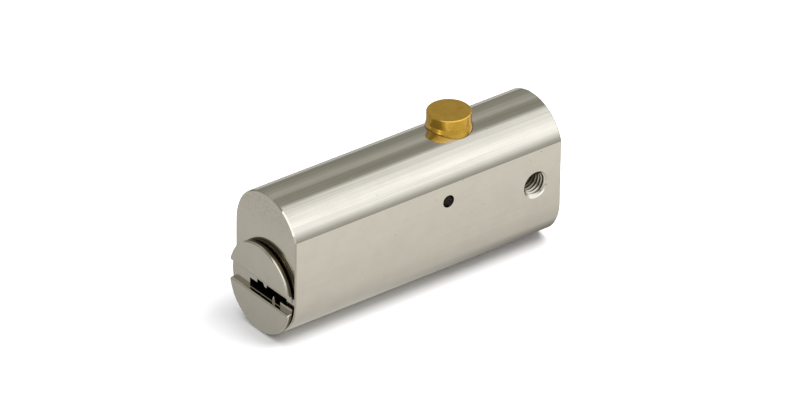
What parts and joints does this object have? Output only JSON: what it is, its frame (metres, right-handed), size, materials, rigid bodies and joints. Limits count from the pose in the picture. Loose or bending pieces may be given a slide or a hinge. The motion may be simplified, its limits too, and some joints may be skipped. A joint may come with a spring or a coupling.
{
  "type": "filing cabinet lock",
  "caption": "Oval-bodied filing cabinet cylinder lock: a quarter turn of the slotted plug draws a round brass bolt down into the body.",
  "frame": {"origin": "where the plug's axis meets the plane of the body's front face", "axes": "+Y along the plug's axis from the key end to the rear, +Z the way the bolt stands out, +X towards the side with the tapped fixing hole"},
  "size_m": [0.018, 0.0628, 0.0312],
  "materials": {
    "nickel_body": "polished nickel plate",
    "nickel_plug": "polished nickel plate, edges rounded by polishing",
    "bolt_brass": "turned, fine rings left by the tool",
    "pin_brass": "turned",
    "pin_steel": "ground, dark",
    "spring_steel": "drawn wire"
  },
  "bodies": {
    "case": {"lock_body": "nickel_body", "plug_retaining_pin": "pin_steel", "bolt_stop_pin": "pin_steel", "bolt_pocket_cover": "nickel_body", "chamber_plugs": "nickel_body", "bolt_spring": "spring_steel", "driver_spring_1": "spring_steel", "driver_spring_2": "spring_steel", "driver_spring_3": "spring_steel", "driver_spring_4": "spring_steel", "driver_spring_5": "spring_steel"},
    "plug": {"plug": "nickel_plug", "drive_pin": "pin_steel"},
    "bolt": {"bolt": "bolt_brass"},
    "key_pin_1": {"key_pin_1": "pin_brass"},
    "driver_pin_1": {"driver_pin_1": "pin_brass"},
    "key_pin_2": {"key_pin_2": "pin_brass"},
    "driver_pin_2": {"driver_pin_2": "pin_brass"},
    "key_pin_3": {"key_pin_3": "pin_brass"},
    "driver_pin_3": {"driver_pin_3": "pin_brass"},
    "key_pin_4": {"key_pin_4": "pin_brass"},
    "driver_pin_4": {"driver_pin_4": "pin_brass"},
    "key_pin_5": {"key_pin_5": "pin_brass"},
    "driver_pin_5": {"driver_pin_5": "pin_brass"}
  },
  "joints": [
    {"name": "plug_turn", "type": "hinge", "parent": "case", "child": "plug", "pos_m": [0, 0, 0], "axis": [0, 1, 0], "range_deg": [0, 90]},
    {"name": "bolt_slide", "type": "slide", "parent": "case", "child": "bolt", "axis": [0, 0, 1], "range_m": [-0.004, 0], "stiffness_N_per_m": 300, "springref_m": 0.006, "deforming": ["bolt_spring"]},
    {"name": "key_pin_1_slide", "type": "slide", "parent": "plug", "child": "key_pin_1", "axis": [0, 0, 1], "range_m": [-0.0009, 0]},
    {"name": "driver_pin_1_slide", "type": "slide", "parent": "case", "child": "driver_pin_1", "axis": [0, 0, 1], "range_m": [0, 0.0015], "stiffness_N_per_m": 120, "springref_m": -0.006, "deforming": ["driver_spring_1"]},
    {"name": "key_pin_2_slide", "type": "slide", "parent": "plug", "child": "key_pin_2", "axis": [0, 0, 1], "range_m": [-0.0014, 0]},
    {"name": "driver_pin_2_slide", "type": "slide", "parent": "case", "child": "driver_pin_2", "axis": [0, 0, 1], "range_m": [0, 0.0015], "stiffness_N_per_m": 120, "springref_m": -0.006, "deforming": ["driver_spring_2"]},
    {"name": "key_pin_3_slide", "type": "slide", "parent": "plug", "child": "key_pin_3", "axis": [0, 0, 1], "range_m": [-0.0006, 0]},
    {"name": "driver_pin_3_slide", "type": "slide", "parent": "case", "child": "driver_pin_3", "axis": [0, 0, 1], "range_m": [0, 0.0015], "stiffness_N_per_m": 120, "springref_m": -0.006, "deforming": ["driver_spring_3"]},
    {"name": "key_pin_4_slide", "type": "slide", "parent": "plug", "child": "key_pin_4", "axis": [0, 0, 1], "range_m": [-0.0012, 0]},
    {"name": "driver_pin_4_slide", "type": "slide", "parent": "case", "child": "driver_pin_4", "axis": [0, 0, 1], "range_m": [0, 0.0015], "stiffness_N_per_m": 120, "springref_m": -0.006, "deforming": ["driver_spring_4"]},
    {"name": "key_pin_5_slide", "type": "slide", "parent": "plug", "child": "key_pin_5", "axis": [0, 0, 1], "range_m": [-0.0008, 0]},
    {"name": "driver_pin_5_slide", "type": "slide", "parent": "case", "child": "driver_pin_5", "axis": [0, 0, 1], "range_m": [0, 0.0015], "stiffness_N_per_m": 120, "springref_m": -0.006, "deforming": ["driver_spring_5"]}
  ],
  "couplings": [
    {"joint": "plug_turn", "follows": "bolt_slide", "rad_per_m": -392.7}
  ]
}
